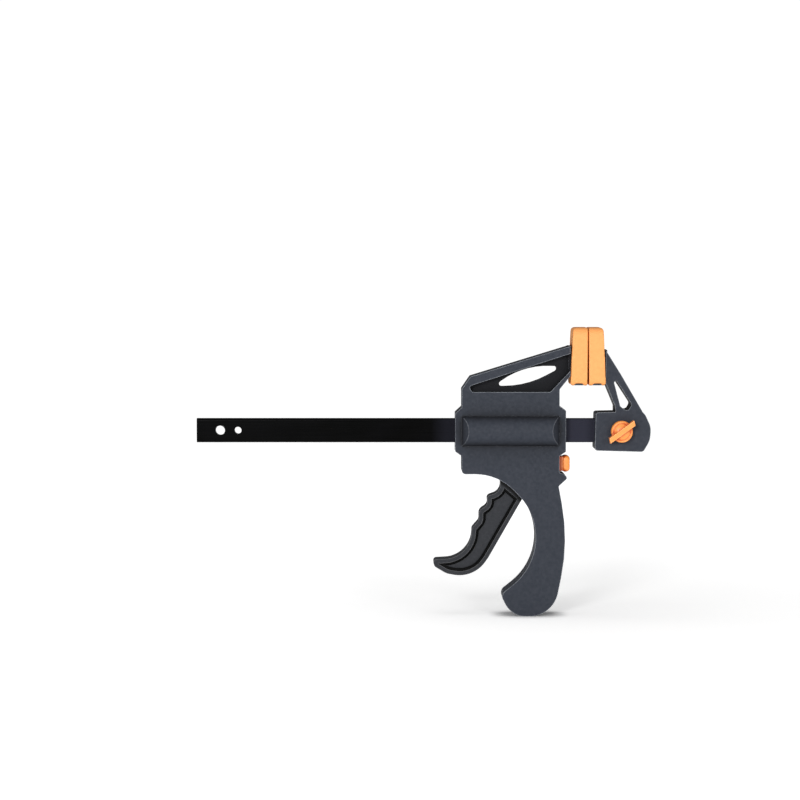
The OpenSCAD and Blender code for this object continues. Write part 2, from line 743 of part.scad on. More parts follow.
module release_button() {
    half_w = button_w / 2;
    foot = -button_below - button_h / 2;
    top = -button_below + button_h / 2;
    color("#ff9a45") below_pads() union() {
        intersection() {
            across(-half_w, half_w)
                polygon(rounded([[flange_x - flange_t, foot, 0], [body_right + button_out, foot, button_r],
                                 [body_right + button_out, top, button_r],
                                 [flange_x - flange_t, top, 0]]));
            translate([0, 0, foot]) linear_extrude(button_h)
                polygon(rounded([[flange_x - flange_t, -half_w, 0],
                                 [body_right + button_out, -half_w, button_r],
                                 [body_right + button_out, half_w, button_r],
                                 [flange_x - flange_t, half_w, 0]]));
        }
        block([button_tip, -half_w - flange_t + slide_gap, foot],
              [flange_x - slide_gap, half_w + flange_t - slide_gap, top + flange_t - slide_gap]);
    }
}

bar();
fixed_jaw();
fixed_jaw_pad();
jaw_nut();
knob_washer();
knob_stud();
wing_knob();
front_shell();
back_shell();
moving_jaw_pad();
shell_screws();
trigger_pin();
trigger();
drive_plate_front();
drive_plate_rear();
drive_spring_seat();
drive_spring();
brake_plate();
brake_spring();
release_button();
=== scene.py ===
# %% [markdown]
# # Quick release bar clamp
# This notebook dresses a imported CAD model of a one-hand bar clamp. The model gives exact shapes
# and moving bodies. Blender adds what a drawing leaves out: rounded edges, moulding grain, coils,
# threads and light.
# The model is loaded first and kept as it is, because everything else is placed by it.

# %% Load the model
import math

import bmesh
import bpy
from mathutils import Matrix, Vector


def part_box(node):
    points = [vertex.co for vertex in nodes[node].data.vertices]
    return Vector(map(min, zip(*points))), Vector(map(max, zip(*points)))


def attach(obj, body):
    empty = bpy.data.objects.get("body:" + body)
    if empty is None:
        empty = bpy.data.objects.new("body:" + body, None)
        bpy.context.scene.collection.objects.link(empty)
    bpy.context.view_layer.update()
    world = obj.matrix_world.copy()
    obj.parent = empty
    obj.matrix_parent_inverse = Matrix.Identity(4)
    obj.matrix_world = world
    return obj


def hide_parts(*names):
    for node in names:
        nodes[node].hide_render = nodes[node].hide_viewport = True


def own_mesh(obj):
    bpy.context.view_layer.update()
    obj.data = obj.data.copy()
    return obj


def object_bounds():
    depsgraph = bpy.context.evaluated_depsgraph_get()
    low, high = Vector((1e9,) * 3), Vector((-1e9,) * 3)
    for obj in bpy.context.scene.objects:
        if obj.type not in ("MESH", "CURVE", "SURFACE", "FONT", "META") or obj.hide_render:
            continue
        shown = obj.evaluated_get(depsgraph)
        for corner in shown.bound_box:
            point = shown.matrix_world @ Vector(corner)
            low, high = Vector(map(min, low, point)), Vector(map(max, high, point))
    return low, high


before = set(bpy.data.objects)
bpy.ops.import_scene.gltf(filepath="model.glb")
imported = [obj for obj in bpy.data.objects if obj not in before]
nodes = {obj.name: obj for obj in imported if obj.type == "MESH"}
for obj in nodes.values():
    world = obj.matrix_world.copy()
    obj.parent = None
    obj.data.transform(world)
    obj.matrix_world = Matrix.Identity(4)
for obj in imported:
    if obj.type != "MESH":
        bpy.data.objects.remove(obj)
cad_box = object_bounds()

MM = 0.001
JOIN_MM = 0.004
print("CAD box:", [round(v / MM, 1) for corner in cad_box for v in corner], "mm")
print("nodes:", len(nodes))

# %% [markdown]
# ## Camera
# The photo was taken from well back with a long lens, level with the bar and a little to its left.
# A camera could be aimed with a constraint, but a fixed place and a computed turn are easier to
# read.

# %% Camera
EYE = Vector((-0.1083, -1.464, 0.0546))
AIM = Vector((-0.1083, 0.0, -0.0255))
SEEN_WIDTH = 0.464
SENSOR = 36.0

camera_data = bpy.data.cameras.new("camera")
camera = bpy.data.objects.new("camera", camera_data)
bpy.context.scene.collection.objects.link(camera)
bpy.context.scene.camera = camera
camera.location = EYE
camera.rotation_euler = (AIM - EYE).to_track_quat("-Z", "Y").to_euler()
camera_data.sensor_width = SENSOR
camera_data.lens = SENSOR * (AIM - EYE).length / SEEN_WIDTH
camera_data.clip_start = 0.05
camera_data.clip_end = 20
print("lens:", round(camera_data.lens, 1), "mm")

# %% [markdown]
# ## Light
# The photo is a product shot: white all round, a soft light on each side of the camera and little
# above it, a faint wide one overhead, and a low one from the left that draws the bright edges.
# Lights in front throw the shadow back, which is why almost none falls in front of the grip, and
# faces that tilt up or down look darker than those that face the camera.
# Area lights give that softness without a picture of a studio. The room itself is a plain world
# colour, kept low so that black steel stays black, and white only where the camera looks past the
# clamp.

# %% Lights and room
def soft_light(name, place, towards, size, watts):
    data = bpy.data.lights.new(name, "AREA")
    data.shape = "DISK"
    data.size = size
    data.energy = watts
    lamp = bpy.data.objects.new(name, data)
    lamp.location = place
    lamp.rotation_euler = (Vector(towards) - Vector(place)).to_track_quat("-Z", "Y").to_euler()
    bpy.context.scene.collection.objects.link(lamp)


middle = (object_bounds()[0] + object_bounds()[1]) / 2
soft_light("left_key", middle + Vector((-0.45, -1.55, 0.4)), middle, 0.45, 16)
soft_light("right_key", middle + Vector((0.7, -1.3, 0.35)), middle, 0.5, 6)
soft_light("wide_top", middle + Vector((0.0, -0.2, 1.4)), middle, 1.2, 4)
soft_light("left_edge", middle + Vector((-1.3, 0.25, 0.35)), middle, 0.5, 1)

world = bpy.data.worlds.new("room")
bpy.context.scene.world = world
world.use_nodes = True
room = world.node_tree
room.nodes.clear()
WHITE, SEEN_STRENGTH, LIT_STRENGTH = (1, 1, 1, 1), 1.05, 0.22
seen = room.nodes.new("ShaderNodeBackground")
seen.inputs["Color"].default_value = WHITE
seen.inputs["Strength"].default_value = SEEN_STRENGTH
lit = room.nodes.new("ShaderNodeBackground")
lit.inputs["Color"].default_value = WHITE
lit.inputs["Strength"].default_value = LIT_STRENGTH
path = room.nodes.new("ShaderNodeLightPath")
blend = room.nodes.new("ShaderNodeMixShader")
out = room.nodes.new("ShaderNodeOutputWorld")
room.links.new(path.outputs["Is Camera Ray"], blend.inputs["Fac"])
room.links.new(lit.outputs[0], blend.inputs[1])
room.links.new(seen.outputs[0], blend.inputs[2])
room.links.new(blend.outputs[0], out.inputs["Surface"])
bpy.context.scene.view_settings.view_transform = "Standard"


# %% [markdown]
# ## Material helpers
# Every finish is a Principled BSDF fed by procedural nodes. A tiny helper that adds a node, sets
# its sockets and links them keeps each material down to a few readable lines.

# %% Node helpers
def add(tree, kind, links=(), **values):
    """Adds a node, links (socket, source) pairs and sets sockets or properties by name."""
    node = tree.nodes.new(kind)
    for name, value in values.items():
        if hasattr(node, name):
            setattr(node, name, value)
        else:
            node.inputs[name.replace("_", " ")].default_value = value
    for socket, source in links:
        tree.links.new(source, node.inputs[socket])
    return node


def new_group(name, inputs, outputs):
    """A shader node group with named sockets. Returns the tree, its input node and output node."""
    tree = bpy.data.node_groups.new(name, "ShaderNodeTree")
    for socket, value in inputs.items():
        made = tree.interface.new_socket(socket, in_out="INPUT", socket_type="NodeSocketFloat")
        made.default_value = value
    for socket in outputs:
        tree.interface.new_socket(socket, in_out="OUTPUT", socket_type="NodeSocketFloat")
    return tree, tree.nodes.new("NodeGroupInput"), tree.nodes.new("NodeGroupOutput")


# %% [markdown]
# ## Shared effects
# Moulded nylon has a fine spark-eroded grain. Cast as a picture it would blur or repeat, so it is
# two layers of noise in object space: a small one for the grain and a wide one for slow changes.

# %% Group: moulding grain
grain, g_in, g_out = new_group("moulding_grain", {"Size": 0.35, "Spread": 12.0},
                               ["Height", "Tone"])
where = add(grain, "ShaderNodeTexCoord")
per_mm = add(grain, "ShaderNodeMath", operation="DIVIDE", links=[(1, g_in.outputs["Size"])])
per_mm.inputs[0].default_value = 1 / MM
fine = add(grain, "ShaderNodeTexNoise", [("Vector", where.outputs["Object"]),
                                         ("Scale", per_mm.outputs[0])], Detail=3.0)
per_spread = add(grain, "ShaderNodeMath", operation="DIVIDE", links=[(1, g_in.outputs["Spread"])])
per_spread.inputs[0].default_value = 1 / MM
wide = add(grain, "ShaderNodeTexNoise", [("Vector", where.outputs["Object"]),
                                         ("Scale", per_spread.outputs[0])], Detail=4.0)
grain.links.new(fine.outputs["Fac"], g_out.inputs["Height"])
grain.links.new(wide.outputs["Fac"], g_out.inputs["Tone"])
print("group:", grain.name)

# %% [markdown]
# Hands polish a clamp's edges first, and rounded edges catch the light. The lighter tone laid on
# edges here stands partly for that wear and partly is a painted highlight. The Bevel node gives the
# normal that a rounded edge would have. Where it differs from the true normal there is an edge.
# This works on any mesh, unlike pointiness, which depends on how finely the mesh is cut. Noise
# breaks the line up.

# %% Group: worn edges and painted edge highlight
edge_wear_and_highlight, w_in, w_out = new_group("worn_and_highlit_edges", {"Width": 0.6, "Break Up": 0.5}, ["Mask"])
edge_r = add(edge_wear_and_highlight, "ShaderNodeMath", operation="MULTIPLY", links=[(0, w_in.outputs["Width"])])
edge_r.inputs[1].default_value = MM
rounded = add(edge_wear_and_highlight, "ShaderNodeBevel", [("Radius", edge_r.outputs[0])], samples=6)
true_normal = add(edge_wear_and_highlight, "ShaderNodeNewGeometry")
same = add(edge_wear_and_highlight, "ShaderNodeVectorMath", [(0, rounded.outputs[0]),
                                          (1, true_normal.outputs["Normal"])],
           operation="DOT_PRODUCT")
edge = add(edge_wear_and_highlight, "ShaderNodeMapRange", [("Value", same.outputs["Value"])])
edge.inputs["From Min"].default_value = 0.995
edge.inputs["From Max"].default_value = 0.86
spot_at = add(edge_wear_and_highlight, "ShaderNodeTexCoord")
spots = add(edge_wear_and_highlight, "ShaderNodeTexNoise", [("Vector", spot_at.outputs["Object"])], Scale=420.0,
            Detail=4.0)
keep = add(edge_wear_and_highlight, "ShaderNodeMapRange", [("Value", spots.outputs["Fac"]),
                                        ("To Min", w_in.outputs["Break Up"])])
keep.inputs["From Min"].default_value = 0.35
keep.inputs["From Max"].default_value = 0.6
kept = add(edge_wear_and_highlight, "ShaderNodeMath", [(0, edge.outputs[0]), (1, keep.outputs[0])],
           operation="MULTIPLY", use_clamp=True)
edge_wear_and_highlight.links.new(kept.outputs[0], w_out.inputs["Mask"])
print("group:", edge_wear_and_highlight.name)

# %% [markdown]
# Creases, recesses and hollows get a darker tone here: this is painted shade, standing in for the
# light that reaches them less. The Ambient Occlusion node measures how shut in a point is, on any
# mesh and with no texture to paint. Own says how much of that comes from the piece's own faces
# alone, so that a neighbour can be left out.

# %% Group: crevice shade (painted shade)
crevice_shade, c_in, c_out = new_group("crevice_shade", {"Reach": 3.0, "Full": 0.55, "Own": 0.0},
                                 ["Mask"])
reach = add(crevice_shade, "ShaderNodeMath", [(0, c_in.outputs["Reach"])], operation="MULTIPLY")
reach.inputs[1].default_value = MM
shut_in = add(crevice_shade, "ShaderNodeAmbientOcclusion", [("Distance", reach.outputs[0])], samples=8)
own = add(crevice_shade, "ShaderNodeAmbientOcclusion", [("Distance", reach.outputs[0])], samples=8,
          only_local=True)
shut = add(crevice_shade, "ShaderNodeMix", [(0, c_in.outputs["Own"]), (2, shut_in.outputs["AO"]),
                                       (3, own.outputs["AO"])])
deep = add(crevice_shade, "ShaderNodeMapRange", [("Value", shut.outputs[0])])
deep.inputs["From Min"].default_value = 0.97
crevice_shade.links.new(c_in.outputs["Full"], deep.inputs["From Max"])
crevice_shade.links.new(deep.outputs[0], c_out.inputs["Mask"])
print("group:", crevice_shade.name)

# %% [markdown]
# Drawn and rolled steel carries fine lines along its length. Noise squeezed in two directions makes
# them, and the same lines serve for the height and for a slow change of tone.

# %% Group: drawn lines
lines, l_in, l_out = new_group("drawn_lines", {"Along": 0.02, "Across": 3.0}, ["Height", "Tone"])
line_at = add(lines, "ShaderNodeTexCoord")
cut = add(lines, "ShaderNodeSeparateXYZ", [(0, line_at.outputs["Object"])])
stretch = []
for axis, socket in (("X", "Along"), ("Y", "Across"), ("Z", "Across")):
    turned = add(lines, "ShaderNodeMath", [(0, cut.outputs[axis]), (1, l_in.outputs[socket])],
                 operation="MULTIPLY")
    stretch.append(turned)
squeezed = add(lines, "ShaderNodeCombineXYZ", [(i, s.outputs[0]) for i, s in enumerate(stretch)])
hair = add(lines, "ShaderNodeTexNoise", [("Vector", squeezed.outputs[0])], Scale=1000.0,
           Detail=3.0)
slow = add(lines, "ShaderNodeTexNoise", [("Vector", line_at.outputs["Object"])], Scale=60.0,
           Detail=3.0)
lines.links.new(hair.outputs["Fac"], l_out.inputs["Height"])
lines.links.new(slow.outputs["Fac"], l_out.inputs["Tone"])
print("group:", lines.name)


# %% [markdown]
# ## Finishes
# Each finish mixes two close colours by a mask that varies over the surface, so no face is one flat
# tone, and drives its roughness and bump from the same groups.

# %% Material helpers
def use(tree, group, **values):
    node = tree.nodes.new("ShaderNodeGroup")
    node.node_tree = group
    for name, value in values.items():
        node.inputs[name.replace("_", " ")].default_value = value
    return node


def mix_colour(tree, mask, low, high):
    node = tree.nodes.new("ShaderNodeMix")
    node.data_type = "RGBA"
    node.inputs["A"].default_value = (*low, 1)
    node.inputs["B"].default_value = (*high, 1)
    tree.links.new(mask, node.inputs["Factor"])
    return node


def remap(tree, value, low, high, start=0.0, end=1.0):
    node = add(tree, "ShaderNodeMapRange", [("Value", value)])
    for name, number in (("From Min", start), ("From Max", end), ("To Min", low), ("To Max", high)):
        node.inputs[name].default_value = number
    return node.outputs[0]


def new_material(name):
    material = bpy.data.materials.new(name)
    material.use_nodes = True
    tree = material.node_tree
    return material, tree, tree.nodes["Principled BSDF"]


def bump(tree, shader, height, distance):
    node = add(tree, "ShaderNodeBump", [("Height", height)], Strength=1.0, Distance=distance * MM)
    tree.links.new(node.outputs[0], shader.inputs["Normal"])


# %% Moulded nylon
def nylon(name, dark, light, worn_highlight_tone, painted_shade_tone, rough, grain_mm=0.3, height_mm=0.03,
          gloss=0.35, reach_mm=4.0, full=0.55, own=0.0):
    material, tree, shader = new_material(name)
    skin = use(tree, grain, Size=grain_mm, Spread=1.8)
    lit_worn_edge_mask = use(tree, edge_wear_and_highlight, Width=0.7, Break_Up=0.6)
    crevice_shade_mask = use(tree, crevice_shade, Reach=reach_mm, Full=full, Own=own)
    slow = remap(tree, skin.outputs["Tone"], 0, 1, 0.3, 0.7)
    base = mix_colour(tree, slow, dark, light)
    # Lighter tone on the edges: partly wear, partly a painted highlight.
    worn_and_highlit = mix_colour(tree, lit_worn_edge_mask.outputs["Mask"], dark, worn_highlight_tone)
    tree.links.new(base.outputs["Result"], worn_and_highlit.inputs["A"])
    # Painted shade: the colour darkens towards the shade tone in creases and recesses, where the
    # crevice mask finds the surface shut in.
    with_painted_shade = mix_colour(tree, crevice_shade_mask.outputs["Mask"], dark, painted_shade_tone)
    tree.links.new(worn_and_highlit.outputs["Result"], with_painted_shade.inputs["A"])
    tree.links.new(with_painted_shade.outputs["Result"], shader.inputs["Base Color"])
    grit = remap(tree, skin.outputs["Height"], rough - 0.05, rough + 0.07, 0.3, 0.7)
    tree.links.new(grit, shader.inputs["Roughness"])
    bump(tree, shader, skin.outputs["Height"], height_mm)
    shader.inputs["Specular IOR Level"].default_value = gloss
    return material


# The third colour of each finish is its edge tone, partly wear and partly painted highlight; the
# fourth is its painted shade in creases and recesses.
grey_nylon = nylon("grey_nylon", (0.0245, 0.0288, 0.0385), (0.0345, 0.0385, 0.0495),
                   (0.26, 0.275, 0.3), (0.0052, 0.0056, 0.0076), 0.56, gloss=0.12, reach_mm=16.0,
                   full=0.89, own=1.0)
dark_nylon = nylon("dark_nylon", (0.021, 0.0225, 0.0265), (0.0295, 0.031, 0.0355),
                   (0.12, 0.12, 0.125), (0.0004, 0.0004, 0.0005), 0.5, gloss=0.12, reach_mm=3.5,
                   full=0.7)
orange_nylon = nylon("orange_nylon", (0.84, 0.28, 0.055), (0.88, 0.31, 0.068), (0.95, 0.48, 0.2),
                     (0.5, 0.07, 0.006), 0.36, grain_mm=0.25, height_mm=0.004, gloss=0.5,
                     reach_mm=3.5, full=0.7)
orange_rubber = nylon("orange_rubber", (0.79, 0.315, 0.088), (0.83, 0.345, 0.10),
                      (0.93, 0.46, 0.18), (0.6, 0.15, 0.02), 0.55, grain_mm=0.5,
                      height_mm=0.01, gloss=0.4, reach_mm=2.0)
print("nylons and rubber ready")


# %% [markdown]
# The steels share one recipe with different tones, so each is one line of numbers.

# %% Steels
def steel(name, dark, light, metal, rough, along=0.03, across=3.0, height_mm=0.006,
          gloss=0.5):
    material, tree, shader = new_material(name)
    drawn = use(tree, lines, Along=along, Across=across)
    lit_worn_edge_mask = use(tree, edge_wear_and_highlight, Width=0.35, Break_Up=0.3)
    slow = remap(tree, drawn.outputs["Tone"], 0, 1, 0.35, 0.65)
    base = mix_colour(tree, slow, dark, light)
    # Lighter tone on the edges: partly wear, partly a painted highlight.
    worn_and_highlit = mix_colour(tree, lit_worn_edge_mask.outputs["Mask"], (0, 0, 0), [min(c * 2.2, 0.8) for c in light])
    tree.links.new(base.outputs["Result"], worn_and_highlit.inputs["A"])
    tree.links.new(worn_and_highlit.outputs["Result"], shader.inputs["Base Color"])
    grit = remap(tree, drawn.outputs["Height"], rough - 0.06, rough + 0.08, 0.3, 0.7)
    tree.links.new(grit, shader.inputs["Roughness"])
    shader.inputs["Metallic"].default_value = metal
    shader.inputs["Specular IOR Level"].default_value = gloss
    bump(tree, shader, drawn.outputs["Height"], height_mm)
    return material


blackened_steel = steel("blackened_steel", (0.0004, 0.0004, 0.0004), (0.0009, 0.0009, 0.0011), 0.0,
                        0.3, gloss=0.03)
zinc_steel = steel("zinc_steel", (0.55, 0.56, 0.58), (0.66, 0.67, 0.68), 1.0, 0.3,
                   along=0.5, across=0.5)
plate_steel = steel("plate_steel", (0.28, 0.29, 0.31), (0.36, 0.37, 0.39), 1.0, 0.38,
                    along=0.4, across=0.4)
spring_steel = steel("spring_steel", (0.38, 0.39, 0.41), (0.48, 0.49, 0.5), 1.0, 0.3,
                     along=1.5, across=1.5)
print("steels ready")

# %% [markdown]
# On the bar a lighter bluish tone is painted towards the fixed jaw: a painted reflection that
# stands in for the room's sheen on the black steel there. That change runs along the bar in object
# space, so it stays in place when the jaw slides.

# %% Painted sheen on the bar
SHEEN_FROM, SHEEN_TO = -90 * MM, -62 * MM
oxide = blackened_steel.node_tree
spot = add(oxide, "ShaderNodeTexCoord")
along_bar = add(oxide, "ShaderNodeSeparateXYZ", [(0, spot.outputs["Object"])])
sheen_share = remap(oxide, along_bar.outputs["X"], 0, 1, SHEEN_FROM, SHEEN_TO)
# Painted reflection: a bluish tone mixed into the black along the bar.
painted_sheen = mix_colour(oxide, sheen_share, (0, 0, 0), (0.024, 0.0245, 0.036))
shader = oxide.nodes["Principled BSDF"]
oxide.links.new(shader.inputs["Base Color"].links[0].from_socket, painted_sheen.inputs["A"])
oxide.links.new(painted_sheen.outputs["Result"], shader.inputs["Base Color"])
print("oxide gets_painted_sheen from", round(SHEEN_FROM / MM), "to", round(SHEEN_TO / MM), "mm")


# %% [markdown]
# ## Rounded edges on the CAD pieces
# Real mouldings have no knife edges, and it is the rounded edge that catches the light. The CAD
# pieces keep their meshes, so the rounding is a stack of modifiers: Weld joins the split corners,
# Decimate turns triangles on one plane into one face, and Bevel rounds what is left.

# %% Dress a CAD node
ONE_PLANE_DEG = 0.6


def dress(name, material, round_mm=0.0, steps=3, angle=35):
    piece = nodes[name]
    piece.data.materials.clear()
    piece.data.materials.append(material)
    if round_mm:
        weld = piece.modifiers.new("join corners", "WELD")
        weld.merge_threshold = JOIN_MM * MM
        plane = piece.modifiers.new("one face a plane", "DECIMATE")
        plane.decimate_type = "DISSOLVE"
        plane.angle_limit = math.radians(ONE_PLANE_DEG)
        edge = piece.modifiers.new("round edges", "BEVEL")
        edge.width = round_mm * MM
        edge.segments = steps
        edge.limit_method = "ANGLE"
        edge.angle_limit = math.radians(angle)
        edge.use_clamp_overlap = True
        smooth = piece.modifiers.new("even shading", "WEIGHTED_NORMAL")
        smooth.weight = 80


for shell in ("front_shell", "back_shell"):
    dress(shell, grey_nylon, 0.5)
dress("fixed_jaw", grey_nylon, 0.5)
dress("trigger", dark_nylon, 0.5)
dress("bar", blackened_steel, 0.3)
for small in ("knob_washer", "trigger_pin"):
    dress(small, zinc_steel, 0.15, 2)
for plate in ("drive_plate_front", "drive_plate_rear", "drive_spring_seat", "brake_plate"):
    dress(plate, plate_steel, 0.2, 2)
print("CAD nodes dressed")


# %% [markdown]
# ## Pieces made here
# Each of these stands for a CAD node that is only a plain form: it rides on the same body, and the
# node is hidden. One helper does that for every piece, so none can be left without a body or a
# finish. A remeshed skin can stand a hair's breadth proud of the CAD model, so its points are also
# kept within the model's box.

# %% Piece helpers
WITHIN = 1e-7


def stand_for(name, mesh, material, body, slot, *stood_for):
    for point in mesh.vertices:
        point.co = [min(max(c, a + WITHIN), b - WITHIN) for c, a, b in zip(point.co, *cad_box)]
    piece = bpy.data.objects.new(name, mesh)
    bpy.context.scene.collection.objects.link(piece)
    piece.data.materials.clear()
    piece.data.materials.append(material)
    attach(piece, body)
    if stood_for:
        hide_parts(*stood_for)
    return piece


def mesh_from(name, points, faces, smooth=True):
    mesh = bpy.data.meshes.new(name)
    mesh.from_pydata(points, [], faces)
    mesh.update()
    for face in mesh.polygons:
        face.use_smooth = smooth
    return mesh


def shaped(mesh, *steps):
    """Runs a mesh through modifiers, given as (kind, values), and returns the mesh that results."""
    draft = bpy.data.objects.new("draft", mesh)
    bpy.context.scene.collection.objects.link(draft)
    for kind, values in steps:
        step = draft.modifiers.new(kind.lower(), kind)
        for name, value in values.items():
            setattr(step, name, value)
    graph = bpy.context.evaluated_depsgraph_get()
    made = bpy.data.meshes.new_from_object(draft.evaluated_get(graph))
    bpy.data.objects.remove(draft)
    for face in made.polygons:
        face.use_smooth = True
    return made


def remesh(voxel_mm):
    return ("REMESH", {"mode": "VOXEL", "voxel_size": voxel_mm * MM})


def soften(times):
    return ("SMOOTH", {"factor": 0.5, "iterations": times})


def lathe(profile, turns=48):
    """Points and faces of a closed solid turned about Y, from (radius, y) pairs on the axis at both
    ends."""
    points = [(0, profile[0][1], 0)]
    inner = profile[1:-1]
    for r, y in inner:
        for i in range(turns):
            a = 2 * math.pi * i / turns
            points.append((r * math.cos(a), y, r * math.sin(a)))
    points.append((0, profile[-1][1], 0))
    last = len(points) - 1
    faces = []
    for i in range(turns):
        j = (i + 1) % turns
        faces.append((0, 1 + i, 1 + j))
        for ring in range(len(inner) - 1):
            k = 1 + ring * turns
            faces.append((k + i, k + turns + i, k + turns + j, k + j))
        k = 1 + (len(inner) - 1) * turns
        faces.append((k + j, k + i, last))
    return points, faces


def moved(points, place=(0, 0, 0)):
    return [Vector(p) * MM + Vector(place) for p in points]


def parts_of(mesh, scale=1):
    return [tuple(v.co / scale) for v in mesh.vertices], [list(f.vertices) for f in mesh.polygons]


# %% [markdown]
# ### Pads
# The pads are soft sleeves, moulded in rubber and pulled down over the jaws' plates, so no edge on
# them is sharp. A subdivision surface would need a clean cage. A voxel remesh of the CAD sleeve
# followed by smoothing gives the same soft look from the exact shape, pocket and all.

# %% Pads
def soft_sleeve(node, body, voxel_mm=0.5, smoothing=5):
    mesh = shaped(nodes[node].data.copy(), ("WELD", {"merge_threshold": JOIN_MM * MM}),
                  remesh(voxel_mm), soften(smoothing))
    sleeve = stand_for(node + "_sleeve", mesh, orange_rubber, body, "orange_rubber", node)
    print(sleeve.name, len(mesh.polygons), "faces")


soft_sleeve("fixed_jaw_pad", "fixed_end")
soft_sleeve("moving_jaw_pad", "sliding_jaw")

# %% [markdown]
# ### Wing knob
# The knob is one nylon moulding: a boss with a thin ring groove and a domed face, and one wing
# across it for finger and thumb. The boss is turned, the wing is a tapered bar, and a fine
# remesh melts the two together with a small fillet, as the mould does.

# %% Wing knob
BAR_Z = -0.043
KNOB_AT = Vector((0.0193, 0, BAR_Z))
KNOB_R, KNOB_BACK, KNOB_FACE, WING_TOP = 6.25, -11.0, -15.4, -17.8
WING_HALF, WING_HALF_T, WING_ANGLE, WING_SLANT, WING_SINK = 9.4, 1.45, 36, 1.2, 0.4
BLOCK_FACES = ((3, 2, 1, 0), (4, 5, 6, 7), (0, 1, 5, 4), (1, 2, 6, 5), (2, 3, 7, 6), (3, 0, 4, 7))
boss = [(0, KNOB_BACK), (KNOB_R - 0.5, KNOB_BACK), (KNOB_R, KNOB_BACK - 0.5),
        (KNOB_R, KNOB_FACE + 0.7), (KNOB_R - 0.3, KNOB_FACE + 0.1),
        (KNOB_R - 1.0, KNOB_FACE - 0.25), (KNOB_R - 1.2, KNOB_FACE + 0.05),
        (KNOB_R - 1.6, KNOB_FACE + 0.05), (KNOB_R - 1.9, KNOB_FACE - 0.4),
        (KNOB_R - 3.5, KNOB_FACE - 1.1), (0, KNOB_FACE - 1.4)]
knob_points, knob_faces = lathe(boss)
wing = [(x, y, z) for y in (KNOB_BACK - WING_SINK, WING_TOP)
        for x, z in ((-WING_HALF, -WING_HALF_T), (WING_HALF - WING_SLANT, -WING_HALF_T),
                     (WING_HALF, WING_HALF_T), (WING_SLANT - WING_HALF, WING_HALF_T))]
turn_wing = Matrix.Rotation(math.radians(-WING_ANGLE), 4, "Y")
start = len(knob_points)
knob_points += [tuple(turn_wing @ Vector(p)) for p in wing]
knob_faces += [[start + i for i in face] for face in BLOCK_FACES]
knob_mesh = shaped(mesh_from("wing_knob_mesh", moved(knob_points, KNOB_AT), knob_faces),
                   remesh(0.2), soften(4))
stand_for("moulded_wing_knob", knob_mesh, orange_nylon, "clamping_screw", "orange_nylon",
          "wing_knob")
print("knob:", len(knob_mesh.polygons), "faces")

# %% [markdown]
# ### Release button
# The button is a stem that slides in the body's nose, a flange inside that keeps it from falling
# out, and a thicker cap with a round front for the fingertip. Three blocks joined by the same
# remesh leave neat steps between them.

# %% Release button
def block(low, high):
    """Corners and faces of a block between two corners."""
    (x0, y0, z0), (x1, y1, z1) = low, high
    points = [(x, y, z) for z in (z0, z1) for x, y in ((x0, y0), (x1, y0), (x1, y1), (x0, y1))]
    return points, BLOCK_FACES


def joined(*solids):
    points, faces = [], []
    for some_points, some_faces in solids:
        faces += [[len(points) + i for i in face] for face in some_faces]
        points += some_points
    return points, faces


low, high = [[v / MM for v in corner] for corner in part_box("release_button")]
BUTTON_Z, FLANGE_TO = -62.2, -17.2
STEM_LESS, STEM_HALF_Y, STEM_HALF_Z = 4.2, 4.5, 4.2
CAP_LONG, CAP_HALF_Y, CAP_HALF_Z, CAP_ROUND = 4.9, 5, 4.8, 2.2
stem = block((low[0], -STEM_HALF_Y, BUTTON_Z - STEM_HALF_Z),
             (high[0] - STEM_LESS, STEM_HALF_Y, BUTTON_Z + STEM_HALF_Z))
flange = block(low, (FLANGE_TO, high[1], high[2]))
cap = block((high[0] - CAP_LONG, -CAP_HALF_Y, BUTTON_Z - CAP_HALF_Z),
            (high[0], CAP_HALF_Y, BUTTON_Z + CAP_HALF_Z))
cap_mesh = shaped(mesh_from("cap", moved(cap[0]), cap[1]),
                  ("BEVEL", {"width": CAP_ROUND * MM, "segments": 8, "limit_method": "NONE"}))
button = joined(stem, flange, parts_of(cap_mesh, MM))
button_mesh = shaped(mesh_from("release_button_mesh", moved(button[0]), button[1]),
                     remesh(0.25), soften(3))
stand_for("stepped_release_button", button_mesh, orange_nylon, "release", "orange_nylon",
          "release_button")
print("button:", len(button_mesh.polygons), "faces")


# %% [markdown]
# ### Springs
# The CAD springs are tubes that fill the coils' space. Here each is wound: a ring of points is
# carried along a helix whose end turns lie flat against their seats, as on a real cut spring. The
# real springs shorten towards their fixed ends when a plate pushes them; these coils are drawn at
# one length.

# %% Coil springs
def coil(name, start, end, outer_r, wire_d, turns, steps=28, sides=8):
    wire_r = wire_d / 2
    run = end - start - wire_d
    flat = wire_d * 1.02
    total = int(turns * steps)
    points, faces = [], []
    for i in range(total + 1):
        turn = i / steps
        if turn < 1:
            x = flat * turn * 0.5
        elif turn > turns - 1:
            x = run - flat * (turns - turn) * 0.5
        else:
            share = (turn - 1) / (turns - 2)
            x = flat * 0.5 + (run - flat) * share
        a = 2 * math.pi * turn
        for j in range(sides):
            b = 2 * math.pi * j / sides
            r = outer_r - wire_r + wire_r * math.cos(b)
            points.append((start + wire_r + x + wire_r * math.sin(b), r * math.cos(a),
                           r * math.sin(a)))
    for i in range(total):
        for j in range(sides):
            k = (j + 1) % sides
            faces.append((i * sides + j, i * sides + k, (i + 1) * sides + k, (i + 1) * sides + j))
    faces.append(tuple(reversed(range(sides))))
    faces.append(tuple(total * sides + j for j in range(sides)))
    return mesh_from(name, moved(points, (0, 0, BAR_Z)), faces)


